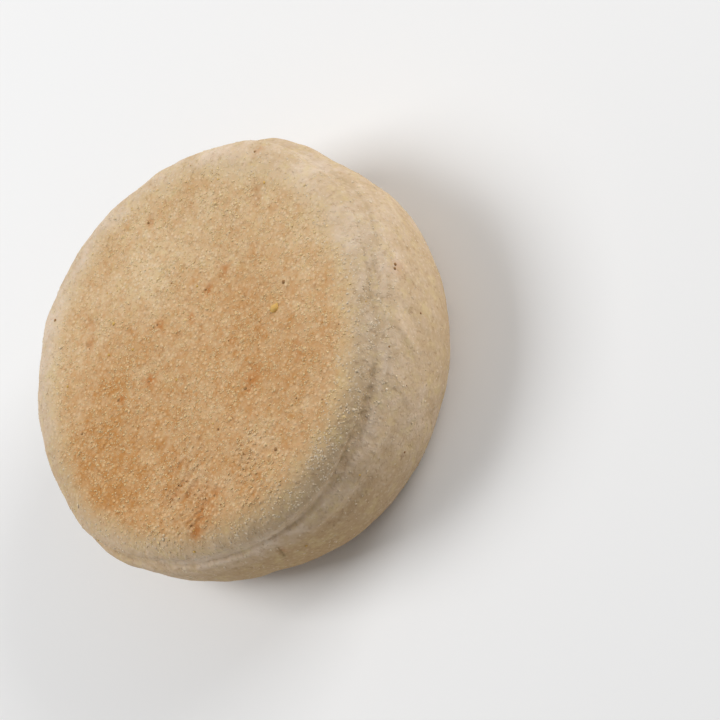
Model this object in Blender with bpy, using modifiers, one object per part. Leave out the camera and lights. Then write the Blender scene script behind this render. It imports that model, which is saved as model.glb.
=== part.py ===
"""A griddle-baked English muffin: one thick round bread, flat where it lay on the griddle, with
rounded shoulders and a crease all round its side, where the upper shoulder folds over the belly.
The origin is on the surface that the muffin rests on, below its middle, and +Z runs up to its top."""

import bpy
import numpy as np

MM = 0.001

# Driving dimensions
RADIUS = 47.7 * MM  # at the belly, before the outline is made uneven
HEIGHT = 32.0 * MM
BELLY_HEIGHT = 0.54 * HEIGHT  # of the widest ring of the side
TOP_RADIUS = 37.0 * MM  # of the flat above, inside the shoulder
REST_RADIUS = 35.5 * MM  # of the flat below
ROUNDNESS = 2.5  # of the side: 2 is an ellipse, and a box would be endless
TOP_HOLLOW = 0.5 * MM  # how far the middle of the top has sunk

# The crease round the side
CREASE_HEIGHT = 0.8 * HEIGHT
CREASE_DEPTH = 1.5 * MM
CREASE_REACH = 2.0 * MM  # above and below its bottom, where it is a third as deep

# Facets
TURNS = 108
FACE_RINGS = 8  # from the middle of the top to its shoulder
UPPER_STEPS = 20
LOWER_STEPS = 12

# Where the outline leaves a circle: direction and width in degrees, then how far the side
# stands out at the top and at the bottom
OUTLINE = [
    (214, 26, -1.5 * MM, -2.6 * MM),
    (171, 14, 1.3 * MM, 0.6 * MM),
    (138, 16, 0.5 * MM, 0.2 * MM),
    (90, 24, 1.6 * MM, 0.7 * MM),
    (54, 16, -0.6 * MM, -0.2 * MM),
    (31, 9, -0.8 * MM, -0.5 * MM),
    (15, 9, 0.6 * MM, 0.4 * MM),
    (-6, 8, -0.9 * MM, -1.1 * MM),
    (-75, 40, 0.5 * MM, 0.4 * MM),
]

# Where the crease wanders: direction and width in degrees, then how much deeper and higher it runs
CREASE_CHANGES = [
    (-58, 32, 0.0 * MM, 4.1 * MM),
    (-30, 16, -0.7 * MM, 1.0 * MM),
    (-60, 14, 0.7 * MM, 0.0 * MM),
    (-110, 18, 0.4 * MM, -0.6 * MM),
    (-142, 24, -0.6 * MM, -1.0 * MM),
    (70, 35, -0.3 * MM, 1.2 * MM),
    (140, 25, 0.2 * MM, -0.8 * MM),
]

# Folds in the belly: direction and width in degrees, height up the side, reach up and down it,
# and how far the dough stands out there
FOLDS = [
    (-96, 6, 23.2 * MM, 1.8 * MM, 0.8 * MM),
    (-106, 11, 19.2 * MM, 1.7 * MM, -0.8 * MM),
    (-30, 20, 20.5 * MM, 2.4 * MM, 0.6 * MM),
    (25, 24, 12.0 * MM, 2.6 * MM, -0.6 * MM),
    (105, 22, 15.0 * MM, 3.0 * MM, 0.6 * MM),
    (178, 18, 17.0 * MM, 2.2 * MM, -0.6 * MM),
]

# Low swells of the top: wavelength, direction in degrees, height and phase in degrees
SWELLS = [
    (61 * MM, 20, 0.28 * MM, 40),
    (43 * MM, 95, 0.22 * MM, 200),
    (29 * MM, 150, 0.15 * MM, 310),
]


def side_curve(flat_radius, half_height, steps):
    """Points of a superellipse, from the edge of a flat face to the widest ring of the side."""
    points = []
    for i in range(steps + 1):
        angle = 0.5 * np.pi * (1 - i / steps)
        outwards = max(np.cos(angle), 0) ** (2 / ROUNDNESS)
        along = max(np.sin(angle), 0) ** (2 / ROUNDNESS)
        points.append((flat_radius + (RADIUS - flat_radius) * outwards, half_height * along))
    return points


def half_section():
    """(distance from the axis, height), from the middle of the top, down the side, to the middle below."""
    top = [(TOP_RADIUS * i / FACE_RINGS, HEIGHT) for i in range(FACE_RINGS)]
    upper = [(d, BELLY_HEIGHT + h) for d, h in side_curve(TOP_RADIUS, HEIGHT - BELLY_HEIGHT, UPPER_STEPS)]
    lower = [(d, BELLY_HEIGHT - h) for d, h in side_curve(REST_RADIUS, BELLY_HEIGHT, LOWER_STEPS)]
    return top + upper + lower[-2::-1] + [(0, 0)]


def near(angle, direction, width):
    """1 at that direction round the axis, falling away smoothly to both sides. All in degrees."""
    apart = (angle - direction + 180) % 360 - 180
    return np.exp(-((apart / width) ** 2))


def smooth_step(value, low, high):
    """0 below low and 1 above high, with a smooth rise between them."""
    share = np.clip((value - low) / (high - low), 0, 1)
    return share * share * (3 - 2 * share)


def made_uneven(points):
    """The turned form's points, moved to where the risen and griddled dough has them."""
    x, y, z = points.T
    angle = np.degrees(np.arctan2(y, x))
    distance = np.hypot(x, y)
    up = z / HEIGHT
    on_side = smooth_step(distance, 0.8 * RADIUS, 0.9 * RADIUS)

    outwards = np.zeros(len(points))
    for direction, width, at_top, at_bottom in OUTLINE:
        outwards += near(angle, direction, width) * (at_bottom + (at_top - at_bottom) * up)
    outwards *= distance / RADIUS

    crease_height = np.full(len(points), CREASE_HEIGHT)
    crease_depth = np.full(len(points), CREASE_DEPTH)
    for direction, width, deeper, higher in CREASE_CHANGES:
        crease_height += near(angle, direction, width) * higher
        crease_depth += near(angle, direction, width) * deeper
    outwards -= on_side * crease_depth * np.exp(-(((z - crease_height) / CREASE_REACH) ** 2))

    for direction, width, height, reach, proud in FOLDS:
        outwards += on_side * proud * near(angle, direction, width) * np.exp(-(((z - height) / reach) ** 2))

    upwards = -TOP_HOLLOW * np.exp(-((distance / (0.5 * RADIUS)) ** 2))
    for wavelength, direction, swell, phase in SWELLS:
        along = x * np.cos(np.radians(direction)) + y * np.sin(np.radians(direction))
        upwards += swell * np.cos(2 * np.pi * along / wavelength + np.radians(phase))
    upwards *= smooth_step(up, 0.7, 1.0)

    stretch = 1 + outwards / np.maximum(distance, MM)
    return np.stack([x * stretch, y * stretch, z + upwards], axis=1)


def crust_material():
    """Pale floury crust."""
    material = bpy.data.materials.new("crust")
    material.use_nodes = True
    shader = material.node_tree.nodes["Principled BSDF"]
    shader.inputs["Base Color"].default_value = (0.60, 0.40, 0.21, 1)
    shader.inputs["Roughness"].default_value = 0.8
    shader.inputs["Metallic"].default_value = 0
    return material


def turned_form(collection):
    """The half section turned about Z with a Screw modifier, as one mesh."""
    section = half_section()
    outline = bpy.data.meshes.new("half_section")
    outline.from_pydata([(d, 0, z) for d, z in section], [(i, i + 1) for i in range(len(section) - 1)], [])
    turning = bpy.data.objects.new("half_section", outline)
    collection.objects.link(turning)
    screw = turning.modifiers.new("Turn", "SCREW")
    screw.steps = TURNS
    screw.render_steps = TURNS
    screw.use_merge_vertices = True
    screw.merge_threshold = 0.05 * MM
    graph = bpy.context.evaluated_depsgraph_get()
    mesh = bpy.data.meshes.new_from_object(turning.evaluated_get(graph))
    bpy.data.objects.remove(turning)
    return mesh


def muffin(collection):
    """The whole bread, which is uncut: one solid, resting on its flat underside."""
    mesh = turned_form(collection)
    mesh.name = "muffin"
    points = np.empty(len(mesh.vertices) * 3, np.float32)
    mesh.vertices.foreach_get("co", points)
    moved = made_uneven(points.reshape(-1, 3).astype(float))
    moved[:, :2] -= 0.5 * (moved[:, :2].min(axis=0) + moved[:, :2].max(axis=0))
    mesh.vertices.foreach_set("co", moved.astype(np.float32).ravel())
    mesh.update()
    mesh.materials.append(crust_material())
    mesh.shade_smooth()
    bread = bpy.data.objects.new("muffin", mesh)
    collection.objects.link(bread)
    return bread


def main():
    for old in list(bpy.data.objects):
        bpy.data.objects.remove(old, do_unlink=True)
    collection = bpy.data.collections.new("english_muffin")
    bpy.context.scene.collection.children.link(collection)
    muffin(collection)


main()
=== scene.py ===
import bpy
import numpy as np
from mathutils import Matrix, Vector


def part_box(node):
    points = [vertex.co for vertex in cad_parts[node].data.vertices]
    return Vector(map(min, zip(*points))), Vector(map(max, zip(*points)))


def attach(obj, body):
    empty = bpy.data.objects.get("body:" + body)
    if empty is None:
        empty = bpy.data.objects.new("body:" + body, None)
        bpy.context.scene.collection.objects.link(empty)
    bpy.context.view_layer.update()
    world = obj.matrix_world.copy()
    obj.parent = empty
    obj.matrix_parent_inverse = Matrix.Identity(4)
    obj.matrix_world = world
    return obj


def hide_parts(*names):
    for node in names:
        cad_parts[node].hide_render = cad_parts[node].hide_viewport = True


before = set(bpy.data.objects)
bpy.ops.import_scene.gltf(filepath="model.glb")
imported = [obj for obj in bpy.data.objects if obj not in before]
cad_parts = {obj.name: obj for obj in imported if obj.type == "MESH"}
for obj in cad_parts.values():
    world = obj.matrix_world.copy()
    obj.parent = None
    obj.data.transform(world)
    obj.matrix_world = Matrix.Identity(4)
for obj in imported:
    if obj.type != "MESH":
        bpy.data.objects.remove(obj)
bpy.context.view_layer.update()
print("frame loaded:", *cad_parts)
mm = 0.001


# A bell: e to the power of minus the square of the distance, which is counted in reaches
def bell(distance, reach):
    return np.exp(-((distance / reach) ** 2))


def turnFrom(direction, angle):  # degrees from a direction to an angle, from -180 to 180
    return (angle - direction + 180) % 360 - 180


def near(angle, direction, width):  # a bell over directions
    return bell(turnFrom(direction, angle), width)


# A bell over an oval: the offsets from its middle, turned to its own length and width
def ovalBell(x, y, middleX, middleY, length, width, direction):
    turn = np.radians(direction)
    along = (x - middleX) * np.cos(turn) + (y - middleY) * np.sin(turn)
    across = (y - middleY) * np.cos(turn) - (x - middleX) * np.sin(turn)
    return bell(along, length) * bell(across, width)


# 0 below low and 1 above high, and between them 3 s^2 - 2 s^3 of the share s of the way
def smoothStep(value, low, high):
    share = np.clip((value - low) / (high - low), 0, 1)
    return share * share * (3 - 2 * share)


# Value noise: seeded random numbers at the corners of cubes of that size, joined by S curves
# along the three axes, from -1 to 1
def softNoise(points, size, seed):
    corners = 48  # along each axis, before the numbers repeat
    lattice = np.random.default_rng(seed).uniform(-1, 1, (corners, corners, corners))
    cell = points / size
    low = np.floor(cell).astype(int)
    share = cell - low
    share = share * share * (3 - 2 * share)
    total = np.zeros(len(points))
    for corner in np.ndindex(2, 2, 2):
        weight = np.prod(np.where(np.array(corner) == 1, share, 1 - share), axis=1)
        x, y, z = ((low + corner) % corners).T
        total += weight * lattice[x, y, z]
    return total


# Noise on noise: each further layer has half the size and a set share of the height
def layeredNoise(points, size, seed, layers=3, fading=0.55):
    shift = 7.3  # so that the layers' corners don't meet
    total, height, most = np.zeros(len(points)), 1.0, 0.0
    for layer in range(layers):
        total += height * softNoise(points + shift * layer, size / 2 ** layer, seed + layer)
        most += height
        height *= fading
    return total / most


# Direction and distance from the upright axis
def aroundAxis(points):
    return np.degrees(np.arctan2(points[:, 1], points[:, 0])), np.hypot(points[:, 0], points[:, 1])


# A smooth mesh from points in millimetres, with its fields kept at them, riding on the one body
def makePiece(name, points, faces, material, fields):
    mesh = bpy.data.meshes.new(name)
    mesh.from_pydata((points * mm).tolist(), [], faces)
    for field, values in fields.items():
        attribute = mesh.attributes.new(field, "FLOAT", "POINT")
        attribute.data.foreach_set("value", values.astype(np.float32))
    mesh.shade_smooth()
    mesh.materials.append(material)
    piece = bpy.data.objects.new(name, mesh)
    bpy.context.scene.collection.objects.link(piece)
    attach(piece, "root")
    print(name, len(points), "points", sum(len(face) - 2 for face in faces), "triangles")
    return piece


bread = {
    "radius": 47.7, "height": 32.0,
    "bellyHeight": 0.54,  # of the widest ring, as a share of the height
    "topRadius": 37.0, "restRadius": 35.5,  # of the two flats
    "roundness": 2.5,  # of the side: 2 is an ellipse
    "topHollow": 0.5, "hollowReach": 0.5,  # the sunk middle's depth, and reach as a share of the radius
    "creaseHeight": 25.6, "creaseDepth": 1.5, "creaseReach": 2.0,
    "sideFrom": (0.8, 0.9),  # shares of the radius between which the crease and the folds set in
    "swellsFrom": (0.7, 1.0),  # shares of the height between which the top's swells set in
    # direction, width, how far the side stands out at the top and at the bottom
    "outline": [(214, 26, -1.5, -2.6), (171, 14, 1.3, 0.6), (138, 16, 0.5, 0.2), (90, 24, 1.6, 0.7),
                (54, 16, -0.6, -0.2), (31, 9, -0.8, -0.5), (15, 9, 0.6, 0.4), (-6, 8, -0.9, -1.1),
                (-75, 40, 0.5, 0.4)],
    # direction, width, how much deeper and how much higher the crease runs
    "creaseChanges": [(-58, 32, 0.0, 4.1), (-30, 16, -0.7, 1.0), (-60, 14, 0.7, 0.0),
                      (-110, 18, 0.4, -0.6), (-142, 24, -0.6, -1.0), (70, 35, -0.3, 1.2),
                      (140, 25, 0.2, -0.8)],
    # direction, width, height, reach up and down, how far the dough stands out
    "folds": [(-96, 6, 23.2, 1.8, 0.8), (-106, 11, 19.2, 1.7, -0.8), (-30, 20, 20.5, 2.4, 0.6),
              (25, 24, 12.0, 2.6, -0.6), (105, 22, 15.0, 3.0, 0.6), (178, 18, 17.0, 2.2, -0.6)],
    # wavelength, direction, height, phase
    "swells": [(61, 20, 0.28, 40), (43, 95, 0.22, 200), (29, 150, 0.15, 310)],
    "turns": 560, "topRings": 54, "upperRings": 72, "lowerRings": 30, "restRings": 18,
    "curveSteps": 200,  # of the side's curve, before its rings are spaced out along it
}


# Superellipse quadrant from a flat face's edge to the widest ring: the outward and the upward
# share are the cosine and sine of a running angle, to the power of 2 / roundness
def sideCurve(flatRadius, halfHeight):
    angle = np.linspace(0.5 * np.pi, 0, bread["curveSteps"])
    outwards = np.clip(np.cos(angle), 0, 1) ** (2 / bread["roundness"])
    along = np.clip(np.sin(angle), 0, 1) ** (2 / bread["roundness"])
    return flatRadius + (bread["radius"] - flatRadius) * outwards, halfHeight * along


# Distance from the axis and height of every ring: the top outwards, the side down in steps of its
# own length, which are finer above its widest ring, and the underside inwards
def halfSection():
    belly = bread["bellyHeight"] * bread["height"]
    upperOut, upperUp = sideCurve(bread["topRadius"], bread["height"] - belly)
    lowerOut, lowerUp = sideCurve(bread["restRadius"], belly)
    out = np.concatenate([upperOut, lowerOut[-2::-1]])
    up = np.concatenate([belly + upperUp, belly - lowerUp[-2::-1]])
    length = np.concatenate([[0], np.cumsum(np.hypot(np.diff(out), np.diff(up)))])
    widest = length[len(upperOut) - 1]
    even = np.concatenate([np.linspace(0, widest, bread["upperRings"], endpoint=False),
                           np.linspace(widest, length[-1], bread["lowerRings"])])
    top = bread["topRadius"] * np.arange(1, bread["topRings"]) / bread["topRings"]
    rest = bread["restRadius"] * np.arange(bread["restRings"] - 1, 0, -1) / bread["restRings"]
    distance = np.concatenate([top, np.interp(even, length, out), rest])
    height = np.concatenate([top * 0 + bread["height"], np.interp(even, length, up), rest * 0])
    return distance, height


# The crease's height and depth in each direction: its usual ones and a bell for each change
def creaseCourse(angle):
    height = np.full(len(angle), bread["creaseHeight"])
    depth = np.full(len(angle), bread["creaseDepth"])
    for direction, width, deeper, higher in bread["creaseChanges"]:
        height += near(angle, direction, width) * higher
        depth += near(angle, direction, width) * deeper
    return height, depth


# The turned form pushed out or in by bells over direction, with the crease and folds as bells
# over height as well, and the top lifted by long cosine swells and sunk in its middle
def unevenForm(points):
    x, y, z = points.T
    angle, distance = aroundAxis(points)
    up = z / bread["height"]
    onSide = smoothStep(distance / bread["radius"], *bread["sideFrom"])
    outwards = np.zeros(len(points))
    for direction, width, atTop, atBottom in bread["outline"]:
        outwards += near(angle, direction, width) * (atBottom + (atTop - atBottom) * up)
    outwards *= distance / bread["radius"]
    creaseHeight, creaseDepth = creaseCourse(angle)
    outwards -= onSide * creaseDepth * bell(z - creaseHeight, bread["creaseReach"])
    for direction, width, height, reach, proud in bread["folds"]:
        outwards += onSide * proud * near(angle, direction, width) * bell(z - height, reach)
    upwards = -bread["topHollow"] * bell(distance, bread["hollowReach"] * bread["radius"])
    for wavelength, direction, swell, phase in bread["swells"]:
        along = x * np.cos(np.radians(direction)) + y * np.sin(np.radians(direction))
        upwards += swell * np.cos(2 * np.pi * along / wavelength + np.radians(phase))
    upwards *= smoothStep(up, *bread["swellsFrom"])
    stretch = 1 + outwards / np.maximum(distance, 1)  # from the axis, within 1 mm of it less
    return np.stack([x * stretch, y * stretch, z + upwards], axis=1)


# Outward normals of a closed grid of rings, from the cross product of its two directions
def gridNormals(grid):
    around = np.roll(grid, -1, axis=1) - np.roll(grid, 1, axis=1)
    down = np.gradient(grid, axis=0)
    normal = np.cross(down, around)
    return normal / np.maximum(np.linalg.norm(normal, axis=2, keepdims=True), 1e-9)


relief = {
    # where the side begins, by distance from the axis, and the two faces, by share of the height
    "sideZone": (36.5, 42.0), "topZone": (0.72, 0.9), "restZone": (0.03, 0.16),
    "faceNoise": [(7.0, 0.12), (2.4, 0.09)],  # size and height
    "sideNoise": [(9.0, 0.30), (3.2, 0.17)],
    "noiseSeed": 9, "noiseLayers": 2,
    # dents in the top: x, y, length, width, direction, depth
    "dents": [(-8.8, 27.3, 3.6, 1.0, 20, 0.60), (19.6, 25.7, 1.6, 1.2, 0, 0.45),
              (32.4, 0.6, 3.4, 1.4, 28, 0.50), (27.5, -2.4, 3.0, 1.2, 20, 0.2),
              (-5.2, 29.8, 1.6, 0.9, 60, 0.3), (-30.0, -20.9, 4.5, 1.2, -4, 0.30),
              (-33.8, -20.8, 1.6, 1.2, 0, 0.3), (-3.4, -19.1, 1.1, 0.8, 0, 0.35),
              (-25.2, -22.5, 1.5, 0.7, -20, 0.35), (-28.5, -12.4, 3.6, 0.5, -18, 0.3),
              (-24.0, -9.8, 3.0, 0.5, -24, 0.25), (-27.0, -16.0, 3.2, 0.5, -10, 0.3),
              (11.0, 2.9, 1.0, 0.7, 0, 0.3)],
    # short wrinkles across a patch of the top: x, y, reach, wavelength, height
    "wrinkles": [(-27, -14.5, 8.5, 1.9, 0.31), (-13, -25, 7, 1.6, 0.22), (-20, -30, 6, 1.6, 0.14),
                 (-32, -4, 7, 1.8, 0.10)],
    "wrinkleNoise": (3.4, 31, 2), "wrinkleBend": 2.4, "wrinkleSlope": 0.35,
    # the underside: how high it stands off the floor, the height of its noise, its size and seed
    "restLift": 0.15, "restRough": 0.12, "restNoise": (6, 5), "lowest": 0.02,
}

# Cracks and fine folds in the side: directions, heights there, depth, reach up and down
cracks = [
    ((-110, -104, -98, -91, -83, -73), (25.7, 26.1, 26.6, 27.1, 27.6, 28.1), 0.80, 0.34),
    ((-101, -93, -86, -78), (26.9, 27.6, 28.1, 28.6), 0.36, 0.26),
    ((-84, -75, -66, -56, -46), (27.5, 28.1, 28.5, 28.8, 28.9), 0.20, 0.26),
    ((-76, -66, -58, -50), (27.2, 27.7, 28.0, 28.2), 0.20, 0.25),
    ((-57, -49, -40), (28.1, 28.3, 28.4), 0.32, 0.27),
    ((-60, -50, -40, -30), (28.8, 29.2, 29.3, 29.1), 0.16, 0.26),
    ((-48, -38, -26), (27.6, 27.2, 26.8), 0.16, 0.32),
    ((-98, -88, -78, -68), (24.4, 25.3, 26.0, 26.9), 0.18, 0.28),
    ((-168, -150, -135, -122), (23.8, 24.2, 24.4, 24.6), 0.20, 0.28),
    ((-130, -116, -102), (24.4, 24.6, 25.2), 0.10, 0.30),
    ((-160, -150, -138), (22.2, 22.0, 22.1), 0.20, 0.32),
    ((-36, -20, -4, 12), (26.8, 26.5, 26.3, 26.4), 0.14, 0.36),
    ((4, 24, 48, 70, 92), (25.6, 26.2, 27.2, 27.6, 27.3), 0.38, 0.40),
    ((84, 100, 118, 136, 150), (27.4, 26.9, 26.0, 25.2, 24.8), 0.44, 0.40),
    ((142, 160, 176, 192), (25.4, 24.8, 24.4, 23.6), 0.36, 0.38),
    ((30, 46, 62), (24.4, 24.9, 25.8), 0.25, 0.32),
    ((112, 128, 142), (23.8, 23.4, 23.6), 0.25, 0.32),
    ((10, 22, 36), (20.2, 20.8, 20.4), 0.18, 0.35),
    ((150, 164, 178), (20.2, 19.6, 20.0), 0.20, 0.35),
    # and where it stands out: below the cracks at the front, and where the crease is shallow
    ((-158, -140, -122, -104, -96, -88, -78, -64),
     (23.3, 23.5, 23.6, 24.0, 24.8, 25.8, 26.6, 27.4), -0.34, 0.55),
    ((-78, -66, -54, -42), (26.9, 27.5, 27.8, 27.9), -0.22, 0.45),
    ((-84, -70, -56, -42), (28.8, 29.8, 30.2, 30.1), -0.20, 0.50),
    ((-34, -22, -8, 12), (26.4, 26.2, 26.0, 26.2), -0.45, 1.60),
    ((96, 112, 130, 146), (25.0, 24.4, 24.0, 23.8), -0.25, 0.60),
]
# Splits and soft pleats that run up and down: directions at the upper and lower end, heights
# there, depth, reach to each side
splits = [
    (-130.4, -133.4, 22.4, 16.4, 0.60, 0.32), (-146, -147, 21.0, 19.2, 0.26, 0.40),
    (-103, -104, 22.6, 19.8, 0.18, 0.40), (-62, -72, 27.5, 18.0, -0.34, 1.30),
    (-56, -65, 27.0, 19.0, 0.22, 1.00), (-76, -83, 25.5, 17.0, -0.22, 1.20),
    (-44, -52, 27.0, 20.5, -0.20, 1.10), (38, 41, 22.5, 18.0, 0.30, 0.42),
    (122, 120, 21.0, 17.0, 0.32, 0.42), (74, 75.5, 18.0, 14.6, 0.24, 0.42),
    (100, 104, 24.5, 16.0, -0.30, 1.30),
]
cracking = {
    "wander": [(5, 0.30, 51), (1.8, 0.20, 52), (0.8, 0.10, 54)],  # noise: size, height, seed
    # the least share of its depth that a crack has, and further shares, each by noise of its own
    "unbroken": 0.30, "breaks": [(1.3, 0.35, 53), (4.0, 0.35, 55)], "breakRange": (-0.4, 0.3),
    "stretch": [1, 1, 0.3],  # of the points before that noise, so that it is longer upwards
    "fade": 7,  # degrees over which each end fades out
    "splitFade": (0.3, 0.7), "splitPast": 0.1,  # shares of a split's height, and how far past its ends
    # the first two: how strongly a millimetre of depth is darkened with painted shade, in cracks and in
    # splits; the third: how strongly a lip is coloured
    "crackShading": 1.6, "splitShading": 2.2, "lip": 3.0,  # how strongly a millimetre of depth is coloured
    "narrow": 0.6,  # reach below which a lip or a split is coloured at all
}
sideDegree = 0.8  # millimetres along the side in a degree


# How deep the cracks are, how strongly painted shade darkens them, and how strongly their lips are
# coloured: along each course a narrow bell over height, which fades at both ends and is bent and
# broken by noise, and for a split a bell over direction
def crackFields(points, onSide):
    z, (angle, _) = points[:, 2], aroundAxis(points)
    stretched = points * cracking["stretch"]
    wander = sum(height * softNoise(stretched, size, seed) for size, height, seed in cracking["wander"])
    whole = np.full(len(points), cracking["unbroken"])
    for size, share, seed in cracking["breaks"]:
        whole += share * smoothStep(softNoise(stretched, size, seed), *cracking["breakRange"])
    # the second mask is painted shade, darkest in the cracks and the narrow splits
    depth, crackShading, lip = np.zeros((3, len(points)))
    for directions, heights, deep, reach in cracks:
        first, length = directions[0], directions[-1] - directions[0]
        along = (angle - first) % 360
        inside = smoothStep(along, 0, cracking["fade"])
        inside *= 1 - smoothStep(along, length - cracking["fade"], length)
        course = np.interp(along, np.array(directions) - first, heights) + wander
        strength = inside * whole * bell(z - course, reach)
        depth += deep * strength
        crackShading = np.maximum(crackShading, np.clip(cracking["crackShading"] * deep, 0, 1) * strength)
        if reach < cracking["narrow"]:
            lip = np.maximum(lip, np.clip(-cracking["lip"] * deep, 0, 1) * strength)
    fadedIn, fadesOut = cracking["splitFade"]
    for above, below, high, low, deep, reach in splits:
        share = (high - z) / (high - low)
        inside = smoothStep(share, -cracking["splitPast"], fadedIn)
        inside *= 1 - smoothStep(share, fadesOut, 1 + cracking["splitPast"])
        across = turnFrom(above + (below - above) * share, angle) * sideDegree + wander
        strength = inside * bell(across, reach)
        depth += deep * strength
        if reach < cracking["narrow"]:
            crackShading = np.maximum(crackShading, np.clip(cracking["splitShading"] * deep, 0, 1) * strength)
    return onSide * depth, onSide * crackShading, onSide * lip


# Short wrinkles of the top: sine waves bent by noise, within a bell round each patch
def wrinkleWaves(points, onTop):
    x, y, _ = points.T
    across = y + relief["wrinkleSlope"] * x
    across += relief["wrinkleBend"] * layeredNoise(points, *relief["wrinkleNoise"])
    waves = np.zeros(len(points))
    for patchX, patchY, reach, wavelength, height in relief["wrinkles"]:
        share = bell(np.hypot(x - patchX, y - patchY), reach)
        waves += onTop * share * height * np.sin(2 * np.pi * across / wavelength)
    return waves


# How far the surface stands out along its own normal: noise of two sizes, bells for the dents,
# and then the wrinkles and the cracks
def fineRelief(points, onTop, onSide):
    x, y, _ = points.T
    out = np.zeros(len(points))
    for key, share in (("faceNoise", 1 - onSide), ("sideNoise", onSide)):
        for size, height in relief[key]:
            out += share * height * layeredNoise(points, size, relief["noiseSeed"], relief["noiseLayers"])
    for *oval, depth in relief["dents"]:
        out -= onTop * depth * ovalBell(x, y, *oval)
    return out + wrinkleWaves(points, onTop) - crackFields(points, onSide)[0]


# What the griddle did
baking = {
    # patches of the top: x, y, reach, how much more toasted
    "topPatches": [(-33, 6, 13, 0.36), (0, -18.5, 4.5, 0.20), (4, -28, 7, 0.20), (-34, -20, 6, 0.08),
                   (12.5, 19.5, 11, -0.47), (8, 18.5, 4, -0.14), (3, 19, 5, -0.10), (21, 7, 6, -0.12),
                   (36, 8, 16, -0.35), (31, -13, 11, -0.34), (24, -27, 8, -0.14), (-4, 35, 13, -0.22),
                   (-21, 32, 7, -0.32), (-27, 25, 5, -0.14), (24, 31, 9, -0.28), (-11, -27, 5, -0.20),
                   (-6, 5, 3.5, -0.08), (-20, 26, 3, 0.12), (-14, 19, 6, 0.12), (-13, -18, 4, 0.14),
                   (3, -36, 12, -0.14), (14, -9, 8, 0.14), (-1, 29, 9, -0.12), (-12, 8, 9, 0.08),
                   (-14, 26, 6, -0.06)],
    "restPatches": [(12, 18, 14, 0.25), (-20, -8, 12, 0.22), (18, -20, 9, 0.16), (-5, 28, 8, -0.3),
                    (-24, 20, 9, -0.25), (2, -4, 9, -0.3)],
    "level": 0.62, "most": 1.3,  # of toast between the patches, and anywhere
    # noise: size, seed, layers and fading, and how much of each is in the toast
    "roughNoise": (6, 71, 4, 0.7), "fineNoise": (2.2, 81, 2, 0.7), "rough": 0.20, "fine": 0.16,
    "crests": 0.6,  # how much paler the wrinkles' crests are
    # how far out the toast ends: everywhere, with noise, and further round each direction and width
    "edge": 37.2, "edgeRough": 1.6, "edgeFade": 4.0,
    "edgeReaches": [(-140, 45, 3.8), (170, 26, 2.6), (-85, 26, 2.6)],
    # brown marks on the top: x, y, length, width, direction, strength
    "marks": [(-10.6, 6.8, 1.25, 1.15, 0, 1.0), (-16.8, 12.0, 0.95, 0.75, 60, 0.95),
              (0.7, 10.8, 1.2, 1.0, 40, 0.8), (4.6, 3.7, 1.0, 0.85, 0, 0.8),
              (11.1, 3.0, 1.5, 0.75, -10, 0.95), (16.8, 1.0, 1.3, 1.0, 0, 0.65),
              (-33.8, -20.8, 2.1, 1.5, -10, 0.9), (-30.4, -20.7, 4.2, 1.6, 0, 0.55),
              (-25.3, -22.4, 1.7, 1.0, -20, 0.7), (-29.0, -23.0, 3.4, 0.9, -5, 0.45),
              (-27.0, -19.0, 3.0, 1.0, 10, 0.4), (-1.2, -18.9, 2.7, 1.8, 10, 0.6),
              (-3.6, -19.2, 0.9, 0.7, 0, 0.8), (0.5, -19.6, 1.0, 0.7, 0, 0.6),
              (-28.5, -12.4, 3.6, 0.6, -18, 0.5), (-27.0, -16.0, 3.2, 0.6, -10, 0.45),
              (-24.0, -9.8, 3.0, 0.6, -24, 0.4), (-5.3, 29.8, 1.6, 0.9, 60, 0.45),
              (-8.9, 27.4, 3.0, 0.8, 20, 0.45), (19.5, 25.7, 1.4, 1.1, 0, 0.45),
              (22.0, 24.0, 2.2, 1.0, -10, 0.3), (4.1, -9.0, 0.9, 0.7, 0, 0.55),
              (7.5, -27.0, 2.8, 1.6, 30, 0.3), (32.5, 0.8, 3.2, 1.2, 28, 0.35),
              (-17.5, 4.3, 1.0, 0.8, 0, 0.45), (-26.7, 17.2, 1.0, 0.8, 0, 0.55),
              (34.4, -10.6, 0.7, 0.6, 0, 0.45)],
    # and on the side: direction, height, reach, strength
    "sideMarks": [(-49, 24.6, 1.6, 0.3), (-131, 20.4, 1.2, 0.35), (9, 30.6, 0.9, 0.3),
                  (52, 19, 1.5, 0.3), (118, 22, 1.4, 0.3), (-176, 18, 1.5, 0.3)],
}


# Face: 1 inside a ragged edge, whose distance is the usual one with noise and bells over
# direction. Toast, on the face: a level, a bell for each patch and noise of two sizes, less on
# the crests of the wrinkles.
def toastFields(points, onTop, onRest):
    x, y, _ = points.T
    angle, distance = aroundAxis(points)
    rough, fine = (layeredNoise(points, *baking[key]) for key in ("roughNoise", "fineNoise"))
    edge = baking["edge"] + baking["edgeRough"] * rough
    for direction, width, further in baking["edgeReaches"]:
        edge += further * near(angle, direction, width)
    face = 1 - smoothStep(distance, edge - baking["edgeFade"], edge + baking["edgeFade"])
    face *= np.maximum(onTop, onRest)
    toast = baking["level"] + baking["rough"] * rough + baking["fine"] * fine
    toast -= baking["crests"] * wrinkleWaves(points, onTop)
    for key, share in (("topPatches", onTop), ("restPatches", onRest)):
        for patchX, patchY, reach, more in baking[key]:
            toast += share * more * bell(np.hypot(x - patchX, y - patchY), reach)
    return face, face * np.clip(toast, 0, baking["most"])


# Brown marks: the strongest of the oval bells on the top and the round bells on the side
def markField(points, onTop, onSide):
    x, y, z = points.T
    angle, _ = aroundAxis(points)
    mark = np.zeros(len(points))
    for *oval, strength in baking["marks"]:
        mark = np.maximum(mark, onTop * strength * ovalBell(x, y, *oval))
    for direction, height, reach, strength in baking["sideMarks"]:
        away = np.hypot(turnFrom(direction, angle) * sideDegree, z - height)
        mark = np.maximum(mark, onSide * strength * bell(away, reach))
    return mark
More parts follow.
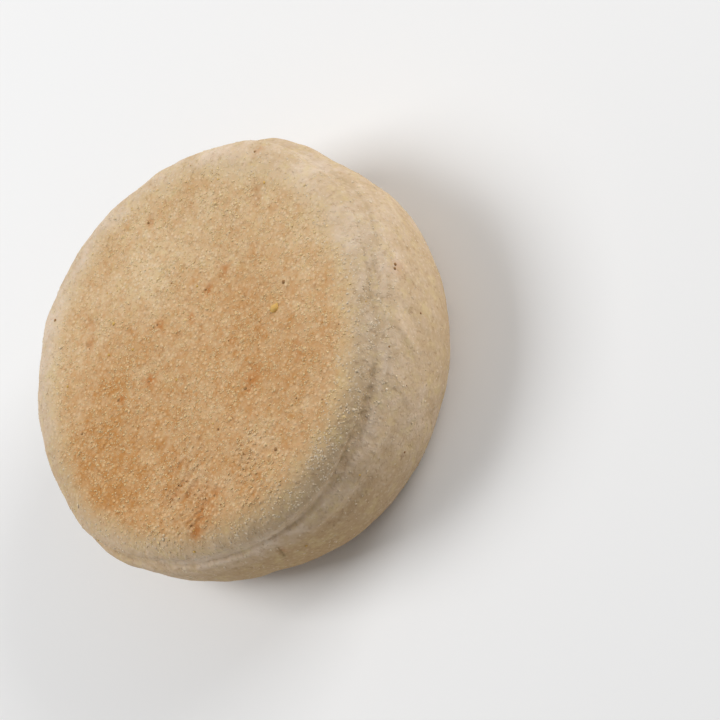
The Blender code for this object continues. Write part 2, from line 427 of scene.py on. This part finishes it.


# What the flour did on the side, and the painted shade and painted warm reflection there
flour = {
    # noise: size and seed, between which values it rises from no flour to all, and how it is squeezed
    "patches": (8, 91), "patchRange": (-0.3, 0.6), "patchStretch": [1, 1, 1.6],
    # low on the side, painted shade and painted warm reflection, with less flour there: direction, width,
    # height it fades out at, strength
    "bare": [(-132, 36, 24, 1.0), (-50, 42, 26, 0.42), (158, 22, 40, 0.65), (20, 30, 14, 0.4),
             (95, 30, 12, 0.5)],
    "shadeAndReflectionFade": 6, "shadeAndReflectionFlourLoss": 0.8,  # over how many millimetres, and the share of flour that is gone
    # how much more there is at the back, round which direction and width, and from which heights
    "back": 0.7, "backFrom": (100, 58), "backHeights": (22, 29),
    "lips": 0.9,  # how much more there is on the cracks' lips
    # how thickly grains stick: everywhere, with flour, on lips, on the shoulder and at its front
    "coat": 0.08, "coatDust": 0.12, "coatLips": 0.2, "coatShoulder": 0.25, "coatFront": 0.9,
    "front": (-98, 44), "shoulderHeights": (24.8, 28.5),
    "clumps": (4, 111), "clumpRange": (-0.35, 0.45), "betweenClumps": 0.35,
    # how strong the painted shade on the shoulder's front is, round which direction and width, and from
    # where
    "shade": 0.85, "paintedShadeFrom": (-100, 46), "paintedShadeHeights": (25.5, 29.5), "paintedShadeDistances": (36, 41),
}


# Shade and reflection: painted shade and painted warm reflection low on the side, the strongest of the
# bells over direction that fade out above a height. Dust: patches of flour, thinner there, and more at
# the back and on lips. Coat: a sum of shares, times the clumps. Shade: painted shade on the shoulder's
# front, a bell over direction, high up and far out.
def flourFields(points, face, lip):
    z, (angle, distance) = points[:, 2], aroundAxis(points)
    # painted shade and painted warm reflection low on the side, which also thins the flour
    bare = np.zeros(len(points))
    for direction, width, height, strength in flour["bare"]:
        below = 1 - smoothStep(z, height - flour["shadeAndReflectionFade"], height)
        bare = np.maximum(bare, strength * near(angle, direction, width) * below)
    patches = layeredNoise(points * flour["patchStretch"], *flour["patches"])
    dust = smoothStep(patches, *flour["patchRange"]) * (1 - flour["shadeAndReflectionFlourLoss"] * bare)
    dust += flour["back"] * near(angle, *flour["backFrom"]) * smoothStep(z, *flour["backHeights"])
    dust += flour["lips"] * lip
    clumps = smoothStep(layeredNoise(points, *flour["clumps"]), *flour["clumpRange"])
    shoulder = flour["coatShoulder"] + flour["coatFront"] * near(angle, *flour["front"])
    coat = flour["coat"] + flour["coatDust"] * dust + flour["coatLips"] * lip
    coat += smoothStep(z, *flour["shoulderHeights"]) * shoulder
    coat *= (1 - face) * (flour["betweenClumps"] + (1 - flour["betweenClumps"]) * clumps)
    # painted shade on the shoulder's front, where it turns away from the light
    shade = flour["shade"] * near(angle, *flour["paintedShadeFrom"])
    shade *= smoothStep(z, *flour["paintedShadeHeights"]) * smoothStep(distance, *flour["paintedShadeDistances"])
    return {"bare": bare, "dust": dust, "clumps": clumps, "coat": coat, "shade": shade}


# All that the crust's colours and the grains read, at each of its points
def bakingFields(points, onTop, onRest, onSide):
    face, toast = toastFields(points, onTop, onRest)
    # the cracks' painted shade, and their lips
    _, hollow, lip = crackFields(points, onSide)
    return {"face": face, "toast": toast, "hollow": hollow, "mark": markField(points, onTop, onSide),
            **flourFields(points, face, lip)}


class Wire:  # one output socket, so that shader maths reads as an expression
    def __init__(self, recipe, socket):
        self.recipe, self.socket = recipe, socket

    def maths(self, operation, first, second):
        return self.recipe.add("ShaderNodeMath", {"operation": operation}, {0: first, 1: second})

    def __add__(self, other):
        return self.maths("ADD", self, other)

    def __radd__(self, other):
        return self.maths("ADD", other, self)

    def __sub__(self, other):
        return self.maths("SUBTRACT", self, other)

    def __rsub__(self, other):
        return self.maths("SUBTRACT", other, self)

    def __mul__(self, other):
        return self.maths("MULTIPLY", self, other)

    def __rmul__(self, other):
        return self.maths("MULTIPLY", other, self)

    def clamped(self):
        return self.recipe.add("ShaderNodeClamp", {}, {"Value": self})


class Recipe:  # a material being made
    def __init__(self, name, constants):
        self.material = bpy.data.materials.new(name)
        self.material.use_nodes = True
        self.tree = self.material.node_tree
        self.shader = self.tree.nodes["Principled BSDF"]
        for socket, value in constants.items():
            self.shader.inputs[socket].default_value = value

    def add(self, kind, settings, sockets, out=0):
        node = self.tree.nodes.new(kind)
        for setting, value in settings.items():
            if setting == "stops":  # two, in grey
                for stop, (place, grey) in zip(node.color_ramp.elements, value):
                    stop.position, stop.color = place, (grey, grey, grey, 1)
            else:
                setattr(node, setting, value)
        for socket, value in sockets.items():
            self.join(value, node.inputs[socket])
        return Wire(self, node.outputs[out])

    def join(self, value, socket):
        if isinstance(value, Wire):
            self.tree.links.new(value.socket, socket)
        else:
            socket.default_value = value

    def feed(self, name, value):
        self.join(value, self.shader.inputs[name])

    def field(self, name):  # a number kept at each point of the piece
        return self.add("ShaderNodeAttribute", {"attribute_name": name}, {}, out="Fac")

    # Noise from 0 to 1, which is 0.5 on average, with its size in millimetres
    def noise(self, size, detail=2.0, roughness=0.5, distortion=0.0):
        place = self.add("ShaderNodeTexCoord", {}, {}, out="Object")
        return self.add("ShaderNodeTexNoise", {}, {
            "Vector": place, "Scale": 1 / (size * mm), "Detail": detail, "Roughness": roughness,
            "Distortion": distortion})

    # Distance from the middle of a random cell, in cells of that size, and the cell's own number
    def cells(self, size):
        place = self.add("ShaderNodeTexCoord", {}, {}, out="Object")
        distance = self.add("ShaderNodeTexVoronoi", {}, {"Vector": place, "Scale": 1 / (size * mm)})
        colour = Wire(self, distance.socket.node.outputs["Color"])
        return distance, colour * 1.0

    def ramp(self, value, stops):
        return self.add("ShaderNodeValToRGB", {"stops": stops}, {"Fac": value})

    # Colours: inputs 6 and 7 and output 2 are the node's colour sockets
    def mix(self, factor, first, second, blend="MIX"):
        return self.add("ShaderNodeMix", {"data_type": "RGBA", "blend_type": blend},
                        {0: factor, 6: first, 7: second}, out=2)

    def bump(self, height, strength, distance):
        self.feed("Normal", self.add("ShaderNodeBump", {}, {
            "Strength": strength, "Distance": distance * mm, "Height": height}))


# Of these, grey is painted shade on the shoulder's front, the crack and pit colours are painted shade, and
# the colour low on the side is painted shade and painted warm reflection
crustColours = {
    "flour": (0.68, 0.54, 0.41, 1), "cream": (0.55, 0.40, 0.25, 1), "straw": (0.63, 0.49, 0.25, 1),
    "pale": (0.66, 0.48, 0.285, 1), "toasted": (0.47, 0.22, 0.065, 1), "mark": (0.45, 0.175, 0.045, 1),
    "hollow": (0.34, 0.235, 0.115, 1), "grey": (0.44, 0.315, 0.185, 1), "pitShade": (0.50, 0.38, 0.26, 1),
    "grain": (0.78, 0.64, 0.46, 1), "toastedGrain": (0.76, 0.48, 0.22, 1),
    "bare": (0.445, 0.295, 0.15, 1),
}
crustPattern = {
    # noise: size in millimetres, detail, roughness, distortion
    "fine": (0.9, 2.0, 0.6, 0.6), "mottle": (2.2, 3.0, 0.6, 0.4), "cloud": (5.0, 2.0),
    "tint": (3.5, 3.0, 0.7), "pits": (1.2, 2.0, 0.65),
    "dots": 0.95,  # size of the cells that hold a dot
    # ramps: place and grey of each stop
    "dotRound": ((0.15, 1.0), (0.58, 0.0)), "dotBright": ((0.30, 0.15), (0.65, 1.0)),
    "pitRound": ((0.30, 1.0), (0.43, 0.0)), "strawPatches": ((0.5, 0.0), (0.7, 0.55)),
    # how much flour there is: everywhere, where it dusted, and by noise, and noise in the browning
    "flourLevel": 0.17, "flourDust": 0.55, "flourMottle": 1.8, "flourCloud": 1.0,
    "brownMottle": 1.0, "brownFine": 0.8, "brownCloud": 0.4,
    # how strongly each is coloured, with painted shade and painted warm reflection low on the side
    # and painted shade in the cracks and in the pits
    "bare": 0.95, "hollow": 0.85, "mark": 1.1, "markFine": 0.6, "pitShade": 0.3,
    "dotOnSide": 0.26, "dotMoreOnFace": 0.36,
    # bump: how high each stands, and how deep the pits are
    "highDot": 0.06, "higherOnFace": 0.12, "highFine": 0.07, "highMottle": 0.42, "deepPit": 0.08,
    "bumpStrength": 0.8, "bumpDistance": 1.0,
}


# The crust between the grains: patches of flour on cream, toast in blotches of three sizes, finer
# grains as dots round the middles of random cells, each cell with its own brightness, and pits, with
# painted shade on the shoulder's front, in the cracks and in the pits, and painted shade and painted
# warm reflection low on the side
def crustMaterial():
    recipe = Recipe("bread_crust", {"Roughness": 0.85, "Specular IOR Level": 0.2,
                                    "Subsurface Weight": 0.10, "Subsurface Scale": 0.001,
                                    "Subsurface Radius": (1.0, 0.6, 0.35)})
    toast, face, mark = recipe.field("toast"), recipe.field("face"), recipe.field("mark")
    pattern = crustPattern
    fine, mottle, cloud = (recipe.noise(*pattern[key]) - 0.5 for key in ("fine", "mottle", "cloud"))
    distance, random = recipe.cells(pattern["dots"])
    dots = recipe.ramp(distance, pattern["dotRound"]) * recipe.ramp(random, pattern["dotBright"])
    # the pits sit low in the bump and are darkened with painted shade in the colour
    pits = recipe.ramp(recipe.noise(*pattern["pits"]), pattern["pitRound"])

    floury = recipe.field("dust") * pattern["flourDust"] + pattern["flourLevel"]
    floury = (floury + mottle * pattern["flourMottle"] + cloud * pattern["flourCloud"]).clamped()
    colour = recipe.mix(floury, crustColours["cream"], crustColours["flour"])
    # painted shade and painted warm reflection low on the side
    colour = recipe.mix(recipe.field("bare") * pattern["bare"], colour, crustColours["bare"])
    # painted shade on the shoulder's front, mixed in as grey
    colour = recipe.mix(recipe.field("shade"), colour, crustColours["grey"])
    colour = recipe.mix(face, colour, crustColours["pale"])
    straw = recipe.ramp(recipe.noise(*pattern["tint"]), pattern["strawPatches"])
    colour = recipe.mix(straw, colour, crustColours["straw"])
    colour = recipe.mix(face * (1 - face), colour, crustColours["straw"])  # a ring round the toast

    blotches = mottle * pattern["brownMottle"] + fine * pattern["brownFine"] + cloud * pattern["brownCloud"]
    colour = recipe.mix((toast + blotches * face).clamped(), colour, crustColours["toasted"])
    marked = (mark * pattern["mark"] + fine * pattern["markFine"] * mark).clamped()
    colour = recipe.mix(marked, colour, crustColours["mark"])
    # painted shade in the cracks and the narrow splits
    colour = recipe.mix(recipe.field("hollow") * pattern["hollow"], colour, crustColours["hollow"])
    grain = recipe.mix(toast.clamped(), crustColours["grain"], crustColours["toastedGrain"])
    dotted = (dots * (pattern["dotOnSide"] + pattern["dotMoreOnFace"] * face)).clamped()
    colour = recipe.mix(dotted, colour, grain)
    # painted shade in the pits, multiplied in
    recipe.feed("Base Color", recipe.mix(pits * pattern["pitShade"], colour, crustColours["pitShade"], "MULTIPLY"))

    height = dots * (pattern["highDot"] + pattern["higherOnFace"] * face) + fine * pattern["highFine"]
    height = height + mottle * pattern["highMottle"] - pits * pattern["deepPit"]
    recipe.bump(height, pattern["bumpStrength"], pattern["bumpDistance"])
    return recipe.material


specks = {"noise": (0.25, 1.0), "share": 0.25, "strength": 0.5, "distance": 0.1}


# Grains: each one's own shade between darker and lighter, on semolina the toast of the crust
# below it, and fine specks
def grainMaterial(kind):
    recipe = Recipe(kind["name"], {"Roughness": 0.6, "Specular IOR Level": 0.2, "Subsurface Weight": 0.2,
                                   "Subsurface Scale": 0.0008, "Subsurface Radius": (1.0, 0.7, 0.4)})
    darker, lighter = kind["darker"], kind["lighter"]
    colour = recipe.mix(recipe.field("shade"), darker, lighter)
    if "toasted" in kind:
        toast = (recipe.field("toast") * kind["toasting"]).clamped()
        colour = recipe.mix(toast, colour, kind["toasted"])
    speck = recipe.noise(*specks["noise"])
    recipe.feed("Base Color", recipe.mix(specks["share"], colour, recipe.mix(speck, darker, lighter)))
    recipe.bump(speck, specks["strength"], specks["distance"])
    return recipe.material


# Faces of the closed form: quads from ring to ring, and fans to the middles of the top and of the
# underside, which are the last two points
def gridFaces(rings, turns):
    i, j = np.meshgrid(np.arange(rings - 1), np.arange(turns), indexing="ij")
    k = (j + 1) % turns
    quads = np.stack([i * turns + j, (i + 1) * turns + j, (i + 1) * turns + k, i * turns + k], axis=2)
    j, k = j[0], k[0]
    lastRing, topMiddle, restMiddle = (rings - 1) * turns, rings * turns + 0 * j, rings * turns + 1 + 0 * j
    topFan = np.stack([j, k, topMiddle], axis=1)
    restFan = np.stack([lastRing + k, lastRing + j, restMiddle], axis=1)
    return quads.reshape(-1, 4).tolist() + topFan.tolist() + restFan.tolist()


# The half section turned round, made uneven and given its relief, with its underside just off the
# floor. It gives back its grid of points, a ring in each row, and the fields on it.
def makeCrust():
    distance, height = halfSection()
    rings, turns = len(distance), bread["turns"]
    angle = np.arange(turns) * 2 * np.pi / turns
    grid = np.stack([distance[:, None] * np.cos(angle), distance[:, None] * np.sin(angle),
                     height[:, None] + 0 * angle], axis=2)
    plain = np.concatenate([grid.reshape(-1, 3), [[0, 0, bread["height"]], [0, 0, 0]]])
    points = unevenForm(plain)
    middle = 0.5 * (points[:, :2].min(axis=0) + points[:, :2].max(axis=0))
    up = plain[:, 2] / bread["height"]
    onSide = smoothStep(aroundAxis(plain)[1], *relief["sideZone"])
    onTop, onRest = smoothStep(up, *relief["topZone"]), 1 - smoothStep(up, *relief["restZone"])
    normal = np.concatenate([gridNormals(points[:-2].reshape(rings, turns, 3)).reshape(-1, 3),
                             [[0, 0, 1], [0, 0, -1]]])
    points = points + normal * fineRelief(points, onTop, onSide)[:, None]
    underside = relief["restLift"] + relief["restRough"] * layeredNoise(plain, *relief["restNoise"])
    points[:, 2] = np.where(plain[:, 2] < 1e-6, underside, points[:, 2])  # the flat below
    points[:, 2] = np.maximum(points[:, 2], relief["lowest"])
    fields = bakingFields(points, onTop, onRest, onSide)
    points[:, :2] -= middle
    crust = makePiece("muffin_crust", points, gridFaces(rings, turns), crustMaterial(), fields)
    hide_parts("muffin")
    onGrid = {name: field[:-2].reshape(rings, turns) for name, field in fields.items()}
    return points[:-2].reshape(rings, turns, 3), onGrid


# A grain's form: its points and sides, its slimmest width, the least and most that a point is
# pulled out from the middle, how far it is then moved, and how far the grain is tipped
small = {
    "points": ((0, 0, 1), (1, 0, 0), (0, 1, 0), (-1, 0, 0), (0, -1, 0), (0, 0, -1)),
    "sides": ((0, 1, 2), (0, 2, 3), (0, 3, 4), (0, 4, 1), (5, 2, 1), (5, 3, 2), (5, 4, 3), (5, 1, 4)),
    "slimmest": 0.65, "pulled": (0.75, 1.1), "moved": 0.18, "tipped": 0.2,
}
large = {
    "points": ((-0.5, 0.85, 0), (0.5, 0.85, 0), (-0.5, -0.85, 0), (0.5, -0.85, 0),
               (0, -0.5, 0.85), (0, 0.5, 0.85), (0, -0.5, -0.85), (0, 0.5, -0.85),
               (0.85, 0, -0.5), (0.85, 0, 0.5), (-0.85, 0, -0.5), (-0.85, 0, 0.5)),
    "sides": ((0, 11, 5), (0, 5, 1), (0, 1, 7), (0, 7, 10), (0, 10, 11), (1, 5, 9), (5, 11, 4),
              (11, 10, 2), (10, 7, 6), (7, 1, 8), (3, 9, 4), (3, 4, 2), (3, 2, 6), (3, 6, 8),
              (3, 8, 9), (4, 9, 5), (2, 4, 11), (6, 2, 10), (8, 6, 7), (9, 8, 1)),
    "slimmest": 0.85, "pulled": (0.88, 1.08), "moved": 0.09, "tipped": 0.2,
}

# For each kind, spread is how unequal its sizes are, flatness its thickness as a share of its
# length, sunk the share of that thickness below the crust, and toasting how much of the crust's
# toast shows on it. Everywhere and onFace are the chances that a scattered one lies there.
toastedSemolina = {
    "name": "toasted_semolina", "form": small, "count": 19000, "size": 0.50, "spread": 0.30,
    "flatness": (0.35, 0.58), "sunk": 0.58, "seed": 101,
    "darker": (0.60, 0.42, 0.20, 1), "lighter": (0.83, 0.64, 0.38, 1), "toasted": (0.64, 0.36, 0.14, 1),
    "toasting": 0.62, "markToasting": 0.8,  # the second for the brown marks
    "betweenClumps": 0.5, "inClumps": 0.7, "lessOnMarks": 0.6,  # how thickly it lies on the faces
}
paleSemolina = {
    "name": "pale_semolina", "form": small, "count": 5000, "size": 0.64, "spread": 0.30,
    "flatness": (0.35, 0.58), "sunk": 0.70, "seed": 102,
    "darker": (0.56, 0.42, 0.27, 1), "lighter": (0.75, 0.61, 0.44, 1), "toasted": (0.68, 0.43, 0.19, 1),
    "toasting": 0.5, "markToasting": 0.8,
}
yellowCornmeal = {
    "name": "yellow_cornmeal", "form": large, "count": 32, "size": 0.50, "spread": 0.25,
    "flatness": 0.7, "sunk": 0.5, "seed": 103, "everywhere": 1.0, "onFace": 0.0,
    "darker": (0.52, 0.32, 0.07, 1), "lighter": (0.66, 0.42, 0.13, 1),
    "topSpots": [(13.7, -17.0, 2.4), (-3, 22.5, 0.9)],  # x, y, size
    "sideSpots": [],
}
branFlecks = {
    "name": "bran_flecks", "form": large, "count": 20, "size": 0.42, "spread": 0.25,
    "flatness": 0.35, "sunk": 0.35, "seed": 104, "everywhere": 0.2, "onFace": 1.0,
    "darker": (0.24, 0.12, 0.045, 1), "lighter": (0.38, 0.22, 0.09, 1),
    "topSpots": [(-26.7, 17.2, 0.7), (-16.9, 12.0, 0.7), (-10.5, 6.4, 0.6), (10.6, 3.1, 0.6),
                 (11.6, 2.9, 0.6), (19.1, -16.3, 0.9), (-12.0, -32.8, 0.9), (1.1, -38.4, 0.5),
                 (4.1, -9.0, 0.5), (-0.7, -32.2, 0.5), (-3.5, -19.1, 0.7), (-1.4, -19.4, 0.5),
                 (19.5, 25.8, 0.7), (-7.9, 39.2, 0.8), (0.7, 10.6, 0.5), (42.2, 6.7, 0.6),
                 (-33.5, -20.6, 0.6), (-25.2, -22.5, 0.6)],
    # direction, height, size
    "sideSpots": [(-49.9, 24.8, 0.8), (-48.3, 24.5, 0.8), (-92, 14.5, 0.6), (-70, 26, 0.5),
                  (-78, 21, 0.4), (20, 18, 0.7), (95, 14, 0.6), (160, 19, 0.7)],
}
# Where a spot is looked for: rings past the flat for the top, distance from the axis for the side
spotRings, spotDistance = 30, 46


# Places on the crust: quads drawn with chances in step with their area and the kind's own
# density, then a random place inside each
def scatterPlaces(grid, fields, density, count, random):
    across = np.roll(grid, -1, axis=1) - grid
    down = np.concatenate([grid[1:] - grid[:-1], np.zeros((1, *grid.shape[1:]))])
    chance = np.linalg.norm(np.cross(down, across), axis=2) * density
    chance[-1] = 0
    picked = random.choice(chance.size, count, p=(chance / chance.sum()).ravel())
    ring, turn = np.unravel_index(picked, chance.shape)
    share = random.uniform(0, 1, (count, 2, 1))
    place = grid[ring, turn] + share[:, 0] * across[ring, turn] + share[:, 1] * down[ring, turn]
    normal = gridNormals(grid)[ring, turn]
    return place, normal, {name: field[ring, turn] for name, field in fields.items()}


# Places and normals picked one by one: the crust's nearest grid point to each wanted place
def nearestOn(grid, wanted, rings):
    part = grid[rings].reshape(-1, 3)
    index = [int(np.argmin(((part - place) ** 2).sum(axis=1))) for place in wanted]
    return part[index], gridNormals(grid)[rings].reshape(-1, 3)[index]


# Grains: the form's points, each pulled about at random, then sized, turned about the crust's
# normal and tipped, and sunk partly into the crust
def makeGrains(kind, place, normal, size, flatness, fields, random):
    form, count = kind["form"], len(place)
    corners, sides = np.array(form["points"], float), np.array(form["sides"])
    shape = corners * random.uniform(*form["pulled"], (count, len(corners), 1))
    shape += random.uniform(-form["moved"], form["moved"], (count, len(corners), 3))
    width = size * random.uniform(form["slimmest"], 1.0, count)
    shape *= np.stack([size, width, size * flatness], axis=1)[:, None, :] * 0.5
    tilt = normal + random.normal(0, form["tipped"], (count, 3))
    tilt /= np.linalg.norm(tilt, axis=1, keepdims=True)
    side = np.cross(tilt, random.normal(0, 1, (count, 3)))
    side /= np.linalg.norm(side, axis=1, keepdims=True)
    other = np.cross(tilt, side)
    points = sum(shape[..., axis:axis + 1] * way[:, None] for axis, way in enumerate((side, other, tilt)))
    points += (place + normal * (size * flatness * (0.5 - kind["sunk"]))[:, None])[:, None]
    points[..., 2] = np.maximum(points[..., 2], 0)
    faces = (np.arange(count)[:, None, None] * len(corners) + sides).reshape(-1, 3).tolist()
    fields = {key: np.repeat(value, len(corners)) for key, value in fields.items()}
    makePiece(kind["name"], points.reshape(-1, 3), faces, grainMaterial(kind), fields)


def grainSizes(kind, random):  # the usual one, times e to the power of a normal random number
    return kind["size"] * np.exp(random.normal(0, kind["spread"], kind["count"]))


# Semolina all over: on the faces in clumps and less on the marks, and elsewhere as the coat says
def makeSemolina(grid, fields):
    thick = toastedSemolina["betweenClumps"] + toastedSemolina["inClumps"] * fields["clumps"]
    onFaces = fields["face"] * thick * (1 - toastedSemolina["lessOnMarks"] * np.clip(fields["mark"], 0, 1))
    for kind, density in ((toastedSemolina, onFaces), (paleSemolina, fields["coat"])):
        random = np.random.default_rng(kind["seed"])
        place, normal, under = scatterPlaces(grid, fields, density, kind["count"], random)
        size = grainSizes(kind, random)
        flatness = random.uniform(*kind["flatness"], kind["count"])
        looks = {"shade": random.uniform(0, 1, kind["count"]),
                 "toast": under["toast"] + kind["markToasting"] * under["mark"]}
        makeGrains(kind, place, normal, size, flatness, looks, random)


def sidePlace(direction, height):  # at the set distance from the axis
    turn = np.radians(direction)
    return spotDistance * np.cos(turn), spotDistance * np.sin(turn), height


# Cornmeal and bran: a few larger grains at their own spots, then some scattered ones
def makeStrays(grid, fields):
    for kind in (yellowCornmeal, branFlecks):
        random = np.random.default_rng(kind["seed"])
        density = kind["everywhere"] + kind["onFace"] * fields["face"]
        scattered = scatterPlaces(grid, fields, density, kind["count"], random)
        top = [(x, y, bread["height"]) for x, y, _ in kind["topSpots"]]
        side = [sidePlace(direction, height) for direction, height, _ in kind["sideSpots"]]
        onTop = nearestOn(grid, top, slice(0, bread["topRings"] + spotRings))
        onSide = nearestOn(grid, side, slice(bread["topRings"], None))
        place, normal = (np.concatenate([onTop[i], onSide[i], scattered[i]]) for i in (0, 1))
        spotSizes = [size for *_, size in kind["topSpots"] + kind["sideSpots"]]
        size = np.concatenate([spotSizes, grainSizes(kind, random)])
        looks = {"shade": random.uniform(0, 1, len(size))}
        makeGrains(kind, place, normal, size, np.full(len(size), kind["flatness"]), looks, random)


studio = {  # in metres and watts
    "floor": (0.84, 0.84, 0.84, 1), "floorSize": 4.0,
    "world": 0.31, "lightDistance": 0.9, "lightSize": 0.5,
    "keyPower": 5.6, "keyFrom": (0.90, -0.30, 0.34),
    "fillPower": 5.5, "fillFrom": (-0.30, 0.50, 0.80),
}
# Distance in metres, and in millimetres how far the camera stands to the right and up
cameraSet = {"lens": 130.4, "sensor": 36, "distance": 0.55, "elevation": 50.7, "roll": 65.8,
             "right": 25.84, "up": 0.78}


# A plane for the floor, and an even white sky
def makeStage():
    floorMaterial = Recipe("pale_floor", {"Base Color": studio["floor"], "Roughness": 0.9,
                                          "Specular IOR Level": 0.1})
    bpy.ops.mesh.primitive_plane_add(size=studio["floorSize"])
    floor = bpy.context.object
    floor.name = "floor"
    floor.data.materials.append(floorMaterial.material)
    world = bpy.data.worlds.new("studio")
    world.use_nodes = True
    world.node_tree.nodes["Background"].inputs["Color"].default_value = (1, 1, 1, 1)
    world.node_tree.nodes["Background"].inputs["Strength"].default_value = studio["world"]
    bpy.context.scene.world = world
    bpy.context.scene.view_settings.view_transform = "Standard"


# Each lamp hangs in the given direction and is turned to face back along it
def makeLight(name, power, direction, target):
    light = bpy.data.lights.new(name, "AREA")
    light.energy, light.size = power, studio["lightSize"]
    lamp = bpy.data.objects.new(name, light)
    aim = np.array(direction) / np.linalg.norm(direction)
    lamp.location = target + studio["lightDistance"] * aim
    lamp.rotation_euler = (0, np.arccos(aim[2]), np.arctan2(aim[1], aim[0]))
    bpy.context.scene.collection.objects.link(lamp)


# The camera looks along +Y and down, is rolled about its own line of sight, and stands to the
# right of the muffin and a little above it, in its own picture's terms
def makeCamera(target):
    tip, roll = np.radians(cameraSet["elevation"]), np.radians(cameraSet["roll"])
    level, upright = np.array([1, 0, 0]), np.array([0, np.sin(tip), np.cos(tip)])
    back = np.array([0, -np.cos(tip), np.sin(tip)])
    right = np.cos(roll) * level - np.sin(roll) * upright
    up = np.sin(roll) * level + np.cos(roll) * upright
    data = bpy.data.cameras.new("camera")
    data.lens, data.sensor_width = cameraSet["lens"], cameraSet["sensor"]
    camera = bpy.data.objects.new("camera", data)
    place = target + cameraSet["distance"] * back
    place += cameraSet["right"] * mm * right + cameraSet["up"] * mm * up
    matrix = np.eye(4)
    matrix[:3, 0], matrix[:3, 1], matrix[:3, 2], matrix[:3, 3] = right, up, back, place
    camera.matrix_world = Matrix(matrix)
    bpy.context.scene.collection.objects.link(camera)
    bpy.context.scene.camera = camera


grid, fields = makeCrust()
print("crust made")
makeSemolina(grid, fields)
makeStrays(grid, fields)
print("grains made")
low, high = (np.array(corner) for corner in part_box("muffin"))
middle = 0.5 * (low + high)
makeStage()
makeLight("key", studio["keyPower"], studio["keyFrom"], middle)
makeLight("fill", studio["fillPower"], studio["fillFrom"], middle)
makeCamera(middle)
print("stage made")
